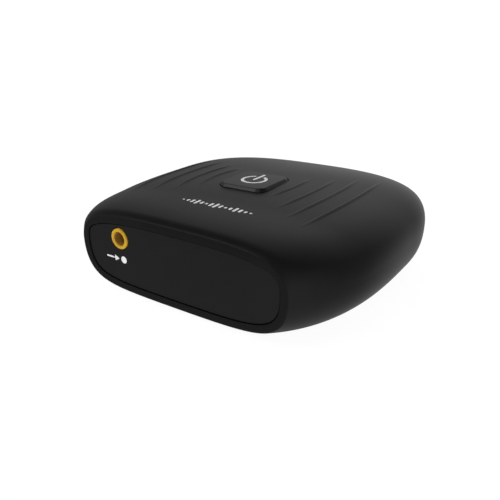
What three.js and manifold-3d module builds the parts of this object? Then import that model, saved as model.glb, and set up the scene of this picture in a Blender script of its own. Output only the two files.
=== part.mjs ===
// Desktop wireless audio receiver: a pebble-shaped housing with an oval front panel, a power button on top,
// audio jacks at the front and the back, and a power inlet at the back.
// Units are millimetres. +Z is up, the front panel faces -Y, and the origin is on the floor under the middle.

import * as THREE from 'three';
import * as BufferGeometryUtils from 'three/addons/utils/BufferGeometryUtils.js';
import Module from 'manifold-3d';

const wasm = await Module();
wasm.setup();

// ---- Driving dimensions ----

const GAP = 0.3;                  // clearance between neighbouring pieces
const SOLDER = 0.1;               // clearance under soldered pieces

const HALF_WIDTH = 44;            // housing, widest place
const DEPTH = 80;                 // housing, front face to back
const WIDEST_Y = 8;               // depth at which the housing is widest
const FRONT_REACH = 59;           // how far the uncut plan outline would reach forward of WIDEST_Y
const PLAN_POWER = 2.85;          // exponent of the superellipse plan outline
const FOOT_STANDOFF = 1;          // how far the feet hold the housing off the floor
const TOP_RISE = 8.9;             // widest level up to the top edge
const CROWN = 4.1;                // extra rise of the top towards its middle
const BOTTOM_DROP = 12.4;         // widest level down to the flat bottom
const TOP_SIDE_POWER = 13.7;      // how late the top turns down into the side
const TOP_EDGE_POWER = 2.24;
const BOTTOM_SIDE_POWER = 13.2;   // how late the bottom turns up into the side
const BOTTOM_EDGE_POWER = 2.22;
const WALL = 2;                   // housing wall

const RIM = 2.1;                  // visible width of the rim around the front panel
const RIM_CORNER = 0.6;           // how much narrower the rim is at its upper corners
const LEDGE = 3.2;                // rim width behind the front panel
const PANEL_THICK = 2;
const PANEL_RECESS = 0.3;         // the front panel sits this far behind the rim

const COVER_SCALE = 0.8;          // size of the bottom cover's outline against the plan outline
const COVER_FRONT_REACH = 44;     // bottom cover, forward of WIDEST_Y
const COVER_THICK = 2;

const BUTTON_SIZE = 15.8;
const BUTTON_CORNER = 3;
const BUTTON_Y = -3.8;
const BUTTON_PROUD = 0.7;         // button face above the housing's crown
const BUTTON_HEIGHT = 4.6;
const BUTTON_FLANGE = 1;          // width and thickness of the lip that keeps the cap in
const BUTTON_WALL = 1.2;
const ICON_RADIUS = 3.9;          // power symbol, outside
const ICON_STROKE = 0.95;
const ICON_GAP_ANGLE = 0.46;      // half of the opening in the ring, radians
const ICON_BAR = [-0.5, 5.7];     // start and end of the bar, from the symbol's centre

const JACK_X = -18.7;
const JACK_Z = 16.7;
const JACK_NOSE_RADIUS = 2.9;
const JACK_BORE_RADIUS = 1.8;
const JACK_BODY = { width: 6.5, length: 11.5, height: 5 };

const BOARD_TOP = JACK_Z - JACK_BODY.height / 2 - SOLDER;
const BOARD_THICK = 1.6;
const BOARD_HALF_WIDTH = 24;
const BOARD_Y = [-35.4, 31];

const REAR_HALF_WIDTH = 22;       // rear panel opening
const REAR_HALF_HEIGHT = 5.4;
const REAR_Z = 15.6;
const REAR_FACE_Y = 36.2;         // outer face of the rear panel
const REAR_JACK_X = 11;
const USB_X = -9;
const USB = { width: 7.5, height: 2.9, length: 5.6, wall: 0.35 };

const CASE_SCREW_SPOTS = { front: [27.4, -16], rear: [28.4, 18] };
const BOARD_SCREW_SPOTS = { front: [20.5, -15], rear: [20.5, 20] };
const FOOT_SPOTS = { front: [20.5, -26], rear: [22.5, 25] };
const FOOT_RADIUS = 4;
const FOOT_SUNK = 1.1;            // depth of the foot inside the bottom cover

const FRONT_Y = -DEPTH / 2;
const BACK_REACH = DEPTH / 2 - WIDEST_Y;
const WIDEST_Z = FOOT_STANDOFF + BOTTOM_DROP;
const FAR = 200;                  // larger than the object, for cutting blocks

// ---- Shape helpers ----

const cutFrom = (solid, ...cutters) => cutters.reduce((rest, cutter) => rest.subtract(cutter), solid);
const joined = (...solids) => solids.reduce((sum, solid) => sum.add(solid));

function solidOf(geometry) {
  const bare = geometry.index ? geometry.toNonIndexed() : geometry.clone();
  bare.deleteAttribute('normal');
  bare.deleteAttribute('uv');
  const welded = BufferGeometryUtils.mergeVertices(bare, 1e-4);
  const vertProperties = new Float32Array(welded.attributes.position.array);
  const triVerts = new Uint32Array(welded.index.array);
  return new wasm.Manifold(new wasm.Mesh({ numProp: 3, vertProperties, triVerts }));
}

function geometryOf(solid) {
  const mesh = solid.getMesh();
  const geometry = new THREE.BufferGeometry();
  geometry.setAttribute('position', new THREE.BufferAttribute(new Float32Array(mesh.vertProperties), 3));
  geometry.setIndex(new THREE.BufferAttribute(new Uint32Array(mesh.triVerts), 1));
  return geometry;
}

function block([x0, x1], [y0, y1], [z0, z1]) {
  const geometry = new THREE.BoxGeometry(x1 - x0, y1 - y0, z1 - z0);
  geometry.translate((x0 + x1) / 2, (y0 + y1) / 2, (z0 + z1) / 2);
  return solidOf(geometry);
}

// A block given by its middle in x and y, its plan size and its height range.
function blockAt(x, y, width, length, heights) {
  return block([x - width / 2, x + width / 2], [y - length / 2, y + length / 2], heights);
}

function post(x, y, radius, [z0, z1], sides = 20) {
  const geometry = new THREE.CylinderGeometry(radius, radius, z1 - z0, sides);
  geometry.rotateX(Math.PI / 2);
  geometry.translate(x, y, (z0 + z1) / 2);
  return solidOf(geometry);
}

// A round bar along Y.
function rod(x, z, radius, [y0, y1], sides = 24) {
  const geometry = new THREE.CylinderGeometry(radius, radius, y1 - y0, sides);
  geometry.translate(x, (y0 + y1) / 2, z);
  return solidOf(geometry);
}

function prism(shape, [z0, z1], curveSegments = 6) {
  const geometry = new THREE.ExtrudeGeometry(shape, { depth: z1 - z0, bevelEnabled: false, curveSegments });
  geometry.translate(0, 0, z0);
  return solidOf(geometry);
}

// An outline drawn in x and z, made solid along Y.
function prismAlongY(shape, [y0, y1], curveSegments = 6) {
  const geometry = new THREE.ExtrudeGeometry(shape, { depth: y1 - y0, bevelEnabled: false, curveSegments });
  geometry.rotateX(Math.PI / 2);
  geometry.translate(0, y1, 0);
  return solidOf(geometry);
}

function roundedRectangle(x, y, width, height, radius) {
  const shape = new THREE.Shape();
  const left = x - width / 2;
  const right = x + width / 2;
  const low = y - height / 2;
  const high = y + height / 2;
  shape.absarc(right - radius, low + radius, radius, -Math.PI / 2, 0);
  shape.absarc(right - radius, high - radius, radius, 0, Math.PI / 2);
  shape.absarc(left + radius, high - radius, radius, Math.PI / 2, Math.PI);
  shape.absarc(left + radius, low + radius, radius, Math.PI, 1.5 * Math.PI);
  return shape;
}

// A turned piece about a vertical axis; the profile is [radius, z] from the axis back to the axis.
function turned(x, y, profile, sides = 16) {
  const points = profile.map(([radius, z]) => new THREE.Vector2(radius, z));
  const geometry = new THREE.LatheGeometry(points, sides);
  geometry.rotateX(Math.PI / 2);
  geometry.translate(x, y, 0);
  return solidOf(geometry);
}

// ---- The pebble ----

const reachAt = (y, inset) => (y < 0 ? FRONT_REACH : BACK_REACH) - inset;

// 0 in the middle of the plan, 1 on its outline. x and y are measured from the widest place.
function planRadius(x, y, inset = 0) {
  const across = Math.abs(x) / (HALF_WIDTH - inset);
  const along = Math.abs(y) / reachAt(y, inset);
  return (across ** PLAN_POWER + along ** PLAN_POWER) ** (1 / PLAN_POWER);
}

// Height of the top above the widest level, and depth of the bottom below it.
function topHeight(radius, inset = 0) {
  const edge = Math.max(0, 1 - radius ** TOP_SIDE_POWER) ** (1 / TOP_EDGE_POWER);
  return (TOP_RISE - inset) * edge + CROWN * (1 - radius ** 2);
}

function bottomDepth(radius, inset = 0) {
  return (BOTTOM_DROP - inset) * Math.max(0, 1 - radius ** BOTTOM_SIDE_POWER) ** (1 / BOTTOM_EDGE_POWER);
}

const surfaceZ = (x, y) => WIDEST_Z + topHeight(planRadius(x, y - WIDEST_Y));

// A closed pebble, drawn `inset` inside the outer surface. `rings` sets how many bands each half has.
function pebble(inset, rings, sides) {
  const radii = Array.from({ length: rings + 1 }, (_, i) => Math.sin((Math.PI / 2) * (i / rings)));
  const bottom = radii.map((radius) => new THREE.Vector2(radius, -bottomDepth(radius, inset)));
  const upwards = radii.slice(0, -1).reverse();
  const top = upwards.map((radius) => new THREE.Vector2(radius, topHeight(radius, inset)));
  const geometry = new THREE.LatheGeometry([...bottom, ...top], sides);
  geometry.rotateX(Math.PI / 2);
  const position = geometry.attributes.position;
  for (let i = 0; i < position.count; i += 1) {
    const x = position.getX(i);
    const y = position.getY(i);
    const radius = Math.hypot(x, y);
    const sharpness = (Math.abs(x) ** PLAN_POWER + Math.abs(y) ** PLAN_POWER) ** (1 / PLAN_POWER);
    const stretch = sharpness > 1e-9 ? radius / sharpness : 0;
    position.setX(i, x * stretch * (HALF_WIDTH - inset));
    position.setY(i, y * stretch * reachAt(y, inset) + WIDEST_Y);
    position.setZ(i, position.getZ(i) + WIDEST_Z);
  }
  return solidOf(geometry);
}

// The oval that the front plane cuts from the pebble, moved inwards by `inset`, in x and z. It is a little
// squarer than the pebble at its upper corners.
function frontOval(inset, steps = 20) {
  const cut = Math.abs(FRONT_Y - WIDEST_Y) / FRONT_REACH;
  const halfLength = HALF_WIDTH * (1 - cut ** PLAN_POWER) ** (1 / PLAN_POWER);
  const edge = [];
  for (let i = 0; i < 2 * steps; i += 1) {
    const angle = (Math.PI * i) / steps;
    const x = halfLength * Math.cos(angle);
    const radius = Math.min(1, planRadius(x, FRONT_Y - WIDEST_Y));
    edge.push(new THREE.Vector2(x, angle < Math.PI ? topHeight(radius) : -bottomDepth(radius)));
  }
  const moved = edge.map((point, i) => {
    const before = edge[(i + edge.length - 1) % edge.length];
    const after = edge[(i + 1) % edge.length];
    const along = after.clone().sub(before).normalize();
    const corner = along.x < 0 ? 4 * (along.x * along.y) ** 2 : 0;
    const inwards = inset - RIM_CORNER * corner;
    return new THREE.Vector2(point.x - along.y * inwards, point.y + along.x * inwards + WIDEST_Z);
  });
  return new THREE.Shape(moved);
}

// The bottom cover's plan outline, grown by `extra`.
function coverOutline(extra, steps = 44) {
  const points = [];
  for (let i = 0; i < steps; i += 1) {
    const angle = (2 * Math.PI * i) / steps;
    const c = Math.cos(angle);
    const s = Math.sin(angle);
    const size = (Math.abs(c) ** PLAN_POWER + Math.abs(s) ** PLAN_POWER) ** (-1 / PLAN_POWER);
    const reach = s < 0 ? COVER_FRONT_REACH : BACK_REACH * COVER_SCALE;
    const x = (HALF_WIDTH * COVER_SCALE + extra) * c * size;
    points.push(new THREE.Vector2(x, (reach + extra) * s * size + WIDEST_Y));
  }
  return new THREE.Shape(points);
}

const mirrored = (spots, make) => Object.entries(spots).flatMap(([end, [x, y]]) => [
  make(`${end}_left`, -x, y),
  make(`${end}_right`, x, y),
]);

// ---- Casing ----

const PANEL_FACE_Y = FRONT_Y + PANEL_RECESS;
const PANEL_BACK_Y = PANEL_FACE_Y + PANEL_THICK;
const LEDGE_THICK = 1.2;
const LEDGE_Y = [PANEL_BACK_Y + GAP, PANEL_BACK_Y + GAP + LEDGE_THICK];
const REAR_BACK_Y = REAR_FACE_Y - PANEL_THICK;
const REAR_LEDGE_Y = [REAR_BACK_Y - GAP - 1, REAR_BACK_Y - GAP];
const REAR_LEDGE = 1;             // width of the step that the rear panel rests on

const USB_Z = BOARD_TOP + SOLDER + USB.height / 2;
const COVER_TOP = FOOT_STANDOFF + COVER_THICK;
const COLUMN = { radius: 3, bottom: 5.3, holeTop: 12.8 };
const BOSS_RADIUS = 3.4;          // cover boss under each column
const HEAD_ROOM = 0.4;            // clearance round a case screw's head
const CASE_SCREW = { head: 2.3, shank: 1.2, headZ: [1.3, 2.6], tip: 12 };
const BOARD_BOTTOM = BOARD_TOP - BOARD_THICK;
const BOARD_SCREW = { head: 1.9, shank: 0.9, headHeight: 1.2, tip: 7 };
const STANDOFF_RADIUS = 2.5;

const BUTTON_TOP = surfaceZ(0, BUTTON_Y) + BUTTON_PROUD;
const BUTTON_BOTTOM = BUTTON_TOP - BUTTON_HEIGHT;

// Each rib is an arc bowed outwards: its side, its distance from the middle and its place in depth at its
// front and back ends, and its bow.
const RIBS = [
  { side: 1, ends: [10.6, 12.1], reach: [-13, 8.5], bow: 0.9 },
  { side: 1, ends: [16.2, 18.1], reach: [-19.5, 13.5], bow: 1.2 },
  { side: 1, ends: [21.2, 23.1], reach: [-24, 19], bow: 1.4 },
  { side: 1, ends: [26.7, 28.6], reach: [-26, 22.5], bow: 1.5 },
  { side: -1, ends: [12.2, 11.8], reach: [-14.5, 8.5], bow: 2.2 },
  { side: -1, ends: [17, 17.3], reach: [-20.5, 13.5], bow: 2.4 },
  { side: -1, ends: [23, 24.2], reach: [-24.5, 19], bow: 2.9 },
  { side: -1, ends: [28.8, 31], reach: [-27, 22], bow: 3.9 },
];
const RIB_RADIUS = 0.6;
const RIB_SUNK = 0.3;             // the rib's centre line below the surface

function rearOval(shrink) {
  const width = 2 * (REAR_HALF_WIDTH - shrink);
  const height = 2 * (REAR_HALF_HEIGHT - shrink);
  return roundedRectangle(0, REAR_Z, width, height, height / 2 - 0.1);
}

function rib({ side, ends, reach, bow }) {
  const steps = 9;
  const points = Array.from({ length: steps + 1 }, (_, i) => {
    const share = i / steps;
    const bulge = 4 * share * (1 - share);
    const x = side * (ends[0] + (ends[1] - ends[0]) * share + bow * bulge);
    const y = reach[0] + (reach[1] - reach[0]) * share;
    return new THREE.Vector3(x, y, surfaceZ(x, y) - RIB_SUNK);
  });
  const section = new THREE.Shape();
  section.absarc(0, 0, RIB_RADIUS, 0, 2 * Math.PI);
  const path = new THREE.CatmullRomCurve3(points);
  return solidOf(new THREE.ExtrudeGeometry(section, { steps, curveSegments: 3, extrudePath: path }));
}

function housing() {
  const outside = cutFrom(pebble(0, 9, 56), block([-FAR, FAR], [-FAR, FRONT_Y], [-FAR, FAR]));
  const cavity = cutFrom(pebble(WALL, 6, 40), block([-FAR, FAR], [-FAR, LEDGE_Y[1]], [-FAR, FAR]));
  const ribs = RIBS.map(rib);
  const columns = mirrored(CASE_SCREW_SPOTS, (_, x, y) => (
    post(x, y, COLUMN.radius, [COLUMN.bottom, FAR], 16)
  ));
  const screwHoles = mirrored(CASE_SCREW_SPOTS, (_, x, y) => (
    post(x, y, CASE_SCREW.shank + GAP, [0, COLUMN.holeTop], 12)
  ));
  const collar = prismAlongY(rearOval(-WALL), [REAR_LEDGE_Y[0], FAR]);
  const inside = joined(...columns, collar).intersect(outside);
  const buttonHole = prism(
    roundedRectangle(0, BUTTON_Y, BUTTON_SIZE + 2 * GAP, BUTTON_SIZE + 2 * GAP, BUTTON_CORNER + GAP),
    [BUTTON_BOTTOM - 2, FAR],
  );
  return cutFrom(
    joined(cutFrom(outside, cavity), inside, ...ribs),
    prismAlongY(frontOval(LEDGE), [-FAR, LEDGE_Y[1] + 0.1]),
    prismAlongY(frontOval(RIM), [-FAR, LEDGE_Y[0]]),
    prismAlongY(rearOval(0), [REAR_LEDGE_Y[1], FAR]),
    prismAlongY(rearOval(REAR_LEDGE), [REAR_LEDGE_Y[0] - 1, FAR]),
    prism(coverOutline(GAP), [-1, COVER_TOP + 1]),
    buttonHole,
    ...screwHoles,
  );
}

function bottomCover() {
  const plate = pebble(0, 9, 56).intersect(prism(coverOutline(0), [0, COVER_TOP]));
  const bossTop = COLUMN.bottom - GAP;
  const pocketTop = CASE_SCREW.headZ[1] + GAP;
  const bosses = mirrored(CASE_SCREW_SPOTS, (_, x, y) => (
    post(x, y, BOSS_RADIUS, [COVER_TOP - 1, bossTop], 16)
  ));
  const standoffs = mirrored(BOARD_SCREW_SPOTS, (_, x, y) => (
    post(x, y, STANDOFF_RADIUS, [COVER_TOP - 1, BOARD_BOTTOM - GAP], 16)
  ));
  const headPockets = mirrored(CASE_SCREW_SPOTS, (_, x, y) => (
    post(x, y, CASE_SCREW.head + HEAD_ROOM, [0, pocketTop], 16)
  ));
  const screwHoles = mirrored(CASE_SCREW_SPOTS, (_, x, y) => (
    post(x, y, CASE_SCREW.shank + GAP, [0, FAR], 12)
  ));
  const boardHoles = mirrored(BOARD_SCREW_SPOTS, (_, x, y) => (
    post(x, y, BOARD_SCREW.shank + GAP, [BOARD_SCREW.tip - GAP, FAR], 12)
  ));
  const footPockets = mirrored(FOOT_SPOTS, (_, x, y) => (
    post(x, y, FOOT_RADIUS + GAP, [0, FOOT_STANDOFF + FOOT_SUNK], 20)
  ));
  return cutFrom(
    joined(plate, ...bosses, ...standoffs),
    ...headPockets,
    ...screwHoles,
    ...boardHoles,
    ...footPockets,
  );
}

function frontPanel() {
  const plate = prismAlongY(frontOval(RIM + GAP), [PANEL_FACE_Y, PANEL_BACK_Y]);
  return cutFrom(plate, rod(JACK_X, JACK_Z, JACK_NOSE_RADIUS + GAP, [-FAR, 0]));
}

function rearPanel() {
  const plate = prismAlongY(rearOval(GAP), [REAR_BACK_Y, REAR_FACE_Y]);
  const usbHole = roundedRectangle(USB_X, USB_Z, USB.width + 2 * GAP, USB.height + 2 * GAP, 1);
  return cutFrom(
    plate,
    rod(REAR_JACK_X, JACK_Z, JACK_NOSE_RADIUS + GAP, [0, FAR]),
    prismAlongY(usbHole, [0, FAR]),
  );
}

function foot(x, y) {
  const top = FOOT_STANDOFF + FOOT_SUNK - GAP;
  const bevel = 0.4;
  const side = [[FOOT_RADIUS - bevel, 0], [FOOT_RADIUS, bevel], [FOOT_RADIUS, top]];
  return turned(x, y, [[0, 0], ...side, [0, top]], 20);
}

// ---- Screws ----

// A pan-head screw that stands on its head, pointing up.
function caseScrew(x, y) {
  const [low, high] = CASE_SCREW.headZ;
  const { head, shank, tip } = CASE_SCREW;
  const bevel = 0.4;
  const headProfile = [[0, low], [head - bevel, low], [head, low + bevel], [head, high]];
  return turned(x, y, [...headProfile, [shank, high], [shank, tip], [0, tip]], 12);
}

// A pan-head screw that points down through the main board.
function boardScrew(x, y) {
  const seat = BOARD_TOP + GAP;
  const { head, shank, headHeight, tip } = BOARD_SCREW;
  const top = seat + headHeight;
  const bevel = 0.4;
  const headProfile = [[head, seat], [head, top - bevel], [head - bevel, top], [0, top]];
  return turned(x, y, [[0, tip], [shank, tip], [shank, seat], ...headProfile], 12);
}

// ---- Power button ----

const ROOF_BOTTOM = BUTTON_TOP - BUTTON_WALL;
const GUIDE = { radius: 5.4, top: ROOF_BOTTOM - GAP, thick: 0.9, stem: 1.5 };
const SWITCH = {
  size: 6,
  height: 3.5,
  plate: 0.3,
  bore: 2,
  boreDepth: 2,
  plunger: 1.7,
  plungerTop: 20.7,
  plungerRoom: 0.8,               // free depth under the plunger
};
const SWITCH_TOP = BOARD_TOP + SOLDER + SWITCH.height;

// The open ring of the power symbol, its opening towards the back, grown by `extra` all round.
function iconRing(extra) {
  const inner = ICON_RADIUS - ICON_STROKE - extra;
  const outer = ICON_RADIUS + extra;
  const opening = ICON_GAP_ANGLE - extra / ICON_RADIUS;
  const start = Math.PI / 2 + opening;
  const end = Math.PI / 2 - opening + 2 * Math.PI;
  const shape = new THREE.Shape();
  shape.absarc(0, BUTTON_Y, outer, start, end, false);
  shape.absarc(0, BUTTON_Y, inner, end, start, true);
  return shape;
}

function iconBar(extra) {
  const [start, end] = ICON_BAR;
  const width = ICON_STROKE + 2 * extra;
  const length = end - start + 2 * extra;
  return roundedRectangle(0, BUTTON_Y + (start + end) / 2, width, length, width / 2 - 0.05);
}

function powerButton() {
  const cap = prism(
    roundedRectangle(0, BUTTON_Y, BUTTON_SIZE, BUTTON_SIZE, BUTTON_CORNER),
    [BUTTON_BOTTOM, BUTTON_TOP],
  );
  const flangeSize = BUTTON_SIZE + 2 * BUTTON_FLANGE;
  const flange = prism(
    roundedRectangle(0, BUTTON_Y, flangeSize, flangeSize, BUTTON_CORNER + BUTTON_FLANGE),
    [BUTTON_BOTTOM, BUTTON_BOTTOM + BUTTON_FLANGE],
  );
  const hollowSize = BUTTON_SIZE - 2 * BUTTON_WALL;
  const hollow = prism(
    roundedRectangle(0, BUTTON_Y, hollowSize, hollowSize, BUTTON_CORNER - BUTTON_WALL),
    [0, ROOF_BOTTOM],
  );
  return cutFrom(
    joined(cap, flange),
    hollow,
    prism(iconRing(GAP), [0, FAR], 12),
    prism(iconBar(GAP), [0, FAR]),
  );
}

// The translucent piece under the cap: a disc whose raised symbol fills the cap's slots, and a stem that
// presses the switch.
function lightGuide() {
  const { radius, top, thick, stem } = GUIDE;
  return joined(
    post(0, BUTTON_Y, radius, [top - thick, top], 32),
    post(0, BUTTON_Y, stem, [SWITCH.plungerTop + GAP, top - thick / 2], 16),
    prism(iconRing(0), [top - thick / 2, BUTTON_TOP], 12),
    prism(iconBar(0), [top - thick / 2, BUTTON_TOP]),
  );
}

function switchBody() {
  const { size, bore, boreDepth } = SWITCH;
  const body = blockAt(0, BUTTON_Y, size, size, [BOARD_TOP + SOLDER, SWITCH_TOP]);
  return cutFrom(body, post(0, BUTTON_Y, bore, [SWITCH_TOP - boreDepth, FAR]));
}

function switchPlate() {
  const low = SWITCH_TOP + SOLDER;
  const plate = blockAt(0, BUTTON_Y, SWITCH.size, SWITCH.size, [low, low + SWITCH.plate]);
  return cutFrom(plate, post(0, BUTTON_Y, SWITCH.bore, [0, FAR]));
}

function switchPlunger() {
  const foot = SWITCH_TOP - SWITCH.boreDepth + SWITCH.plungerRoom;
  return post(0, BUTTON_Y, SWITCH.plunger, [foot, SWITCH.plungerTop]);
}

// ---- Circuit boards ----

const PARTS_Z = BOARD_TOP + SOLDER;
const MODULE = { x: 15, y: -2, width: 13, length: 20, thick: 0.8 };
const MODULE_PARTS_Z = PARTS_Z + MODULE.thick + SOLDER;
const SHIELD = { y: -6, width: 11, length: 11, height: 1.8, wall: 0.3 };
const ANTENNA = { y: 5, width: 7, length: 2, height: 1.2 };

function mainBoard() {
  const [front, back] = BOARD_Y;
  const outline = roundedRectangle(0, (front + back) / 2, 2 * BOARD_HALF_WIDTH, back - front, 2);
  const holes = mirrored(BOARD_SCREW_SPOTS, (_, x, y) => post(x, y, BOARD_SCREW.shank + GAP, [0, FAR], 12));
  return cutFrom(prism(outline, [BOARD_BOTTOM, BOARD_TOP]), ...holes);
}

function wirelessBoard() {
  const { x, y, width, length, thick } = MODULE;
  return blockAt(x, y, width, length, [PARTS_Z, PARTS_Z + thick]);
}

// An open-bottomed metal can.
function shieldCan() {
  const { y, width, length, height, wall } = SHIELD;
  const top = MODULE_PARTS_Z + height;
  const can = blockAt(MODULE.x, y, width, length, [MODULE_PARTS_Z, top]);
  return cutFrom(can, blockAt(MODULE.x, y, width - 2 * wall, length - 2 * wall, [0, top - wall]));
}

function chipAntenna() {
  const { y, width, length, height } = ANTENNA;
  return blockAt(MODULE.x, y, width, length, [MODULE_PARTS_Z, MODULE_PARTS_Z + height]);
}

// Block-shaped parts on the main board: finish, place, and width, length and height.
const BOARD_PARTS = {
  audio_chip: { look: 'chip', at: [-13, -7], size: [7, 7, 1] },
  regulator_chip: { look: 'chip', at: [-9, 22], size: [4, 3.5, 1.5] },
  crystal: { look: 'can', at: [-13, 1], size: [3.2, 2.5, 0.8] },
  coil: { look: 'chip', at: [-2.5, 22], size: [4, 4, 2] },
  power_led: { look: 'led', at: [0, 2.5], size: [3.5, 2.8, 1.9] },
};
const CAPACITOR_SPOTS = [[-14, 8], [-7, 12], [0.5, 13]];

function boardPart([x, y], [width, length, height]) {
  return blockAt(x, y, width, length, [PARTS_Z, PARTS_Z + height]);
}

// A can capacitor on its square base.
function capacitor(x, y, radius = 2.5, height = 5.4) {
  const base = 0.9;
  return joined(
    blockAt(x, y, 2 * radius + 0.3, 2 * radius + 0.3, [PARTS_Z, PARTS_Z + base]),
    post(x, y, radius, [PARTS_Z + base / 2, PARTS_Z + height], 16),
  );
}

// ---- Audio jacks and power inlet ----

const JACK = { nose: 2.9, boreEnd: 3.6, chamberEnd: 13.4, chamberWidth: 4.6, chamberHeight: 3.6 };
const CONTACTS = {
  sleeve: { side: -1, from: 4, to: 6.4 },
  ring: { side: 1, from: 6, to: 11 },
  tip: { side: -1, from: 7, to: 12.6 },
};
const STRIP = { thick: 0.3, bump: 0.9, halfHeight: 0.8 };
const FRONT_JACK = { x: JACK_X, faceY: FRONT_Y, outward: -1 };
const REAR_JACK = { x: REAR_JACK_X, faceY: REAR_FACE_Y + PANEL_RECESS, outward: 1 };

// The range in y between two depths behind a jack's face.
function depths({ faceY, outward }, from, to) {
  const ends = [faceY - outward * from, faceY - outward * to];
  return [Math.min(...ends), Math.max(...ends)];
}

function jackHousing(jack) {
  const { nose, boreEnd, chamberEnd, chamberWidth, chamberHeight } = JACK;
  const { width, length, height } = JACK_BODY;
  const across = (size) => [jack.x - size / 2, jack.x + size / 2];
  return cutFrom(
    joined(
      rod(jack.x, JACK_Z, JACK_NOSE_RADIUS, depths(jack, 0, nose + 0.5), 28),
      block(across(width), depths(jack, nose, nose + length), [JACK_Z - height / 2, JACK_Z + height / 2]),
    ),
    rod(jack.x, JACK_Z, JACK_BORE_RADIUS, depths(jack, -1, boreEnd + 0.2), 24),
    block(across(chamberWidth), depths(jack, boreEnd, chamberEnd), [0, JACK_Z + chamberHeight / 2]),
  );
}

// A sprung strip beside the bore, bowed towards it at its middle.
function jackContact(jack, { side, from, to }) {
  const { thick, bump, halfHeight } = STRIP;
  const wall = jack.x + side * (JACK.chamberWidth / 2 - GAP);
  const at = (inwards, depth) => new THREE.Vector2(wall - side * inwards, jack.faceY - jack.outward * depth);
  const bowed = (inwards, start, end) => {
    const peak = at(inwards + 2 * bump, (start + end) / 2);
    return new THREE.QuadraticBezierCurve(at(inwards, start), peak, at(inwards, end)).getPoints(8);
  };
  const strip = new THREE.Shape([...bowed(0, from, to), ...bowed(thick, to, from)]);
  return prism(strip, [JACK_Z - halfHeight, JACK_Z + halfHeight]);
}

const USB_FACE_Y = REAR_FACE_Y + PANEL_RECESS;

function usbOutline(shrink) {
  return roundedRectangle(USB_X, USB_Z, USB.width - 2 * shrink, USB.height - 2 * shrink, 0.9 - shrink);
}

function usbShell() {
  const tube = prismAlongY(usbOutline(0), [USB_FACE_Y - USB.length, USB_FACE_Y], 4);
  return cutFrom(tube, prismAlongY(usbOutline(USB.wall), [0, FAR], 4));
}

const TONGUE = { width: 4.6, reach: 5, low: -0.1, high: 0.5, base: 1.8 };

// The inlet's tongue and the block at the back that carries it.
function usbInsulator() {
  const { width, reach, low, high, base } = TONGUE;
  const back = USB_FACE_Y - USB.length;
  const block = prismAlongY(usbOutline(USB.wall + GAP), [back, back + base], 4);
  const tongueStart = back + base / 2;
  const length = reach - base / 2;
  const tongue = blockAt(USB_X, tongueStart + length / 2, width, length, [USB_Z + low, USB_Z + high]);
  return joined(block, tongue);
}

// ---- Materials ----

function finish(color, roughness, metalness = 0) {
  return new THREE.MeshStandardMaterial({ color, roughness, metalness });
}

const FINISHES = {
  casing: () => finish(0x1b1c1d, 0.5),
  panel: () => finish(0x1f2021, 0.6),
  button: () => finish(0x202122, 0.45),
  symbol: () => finish(0xd8dadb, 0.4),
  rubber: () => finish(0x151515, 0.9),
  screw: () => finish(0x8f9194, 0.35, 0.9),
  jack: () => finish(0xd9b92c, 0.45),
  contact: () => finish(0xc9a86a, 0.3, 1),
  shell: () => finish(0xb9bcc0, 0.3, 1),
  insulator: () => finish(0x161616, 0.6),
  board: () => finish(0x15492f, 0.5),
  wirelessBoard: () => finish(0x123a6b, 0.5),
  chip: () => finish(0x18191b, 0.5),
  ceramic: () => finish(0xe6e2d6, 0.5),
  can: () => finish(0xc5c8cb, 0.35, 0.9),
  led: () => finish(0xf3f5f6, 0.3),
};

// ---- Assembly ----

const group = new THREE.Group();

function add(name, finishName, solid) {
  const mesh = new THREE.Mesh(geometryOf(solid), FINISHES[finishName]());
  mesh.name = name;
  group.add(mesh);
}

function addJack(end, jack) {
  add(`${end}_jack_housing`, 'jack', jackHousing(jack));
  for (const [name, contact] of Object.entries(CONTACTS)) {
    add(`${end}_jack_${name}_contact`, 'contact', jackContact(jack, contact));
  }
}

add('housing', 'casing', housing());
add('bottom_cover', 'casing', bottomCover());
add('front_panel', 'panel', frontPanel());
add('rear_panel', 'panel', rearPanel());
mirrored(FOOT_SPOTS, (place, x, y) => add(`foot_${place}`, 'rubber', foot(x, y)));
mirrored(CASE_SCREW_SPOTS, (place, x, y) => add(`case_screw_${place}`, 'screw', caseScrew(x, y)));
mirrored(BOARD_SCREW_SPOTS, (place, x, y) => add(`board_screw_${place}`, 'screw', boardScrew(x, y)));

add('power_button', 'button', powerButton());
add('button_light_guide', 'symbol', lightGuide());
add('switch_body', 'insulator', switchBody());
add('switch_plate', 'can', switchPlate());
add('switch_plunger', 'insulator', switchPlunger());

add('main_board', 'board', mainBoard());
add('wireless_board', 'wirelessBoard', wirelessBoard());
add('shield_can', 'can', shieldCan());
add('chip_antenna', 'ceramic', chipAntenna());
for (const [name, { look, at, size }] of Object.entries(BOARD_PARTS)) {
  add(name, look, boardPart(at, size));
}
CAPACITOR_SPOTS.forEach(([x, y], i) => add(`capacitor_${i + 1}`, 'can', capacitor(x, y)));

addJack('front', FRONT_JACK);
addJack('rear', REAR_JACK);
add('usb_shell', 'shell', usbShell());
add('usb_insulator', 'insulator', usbInsulator());

export default group;
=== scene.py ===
# Looks of the desktop wireless audio receiver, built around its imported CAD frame.
# Geometry is worked out in millimetres and stored in metres. +Z is up and the front panel faces -Y.
import math

import bmesh
import bpy
import numpy as np
from mathutils import Matrix, Vector


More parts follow.
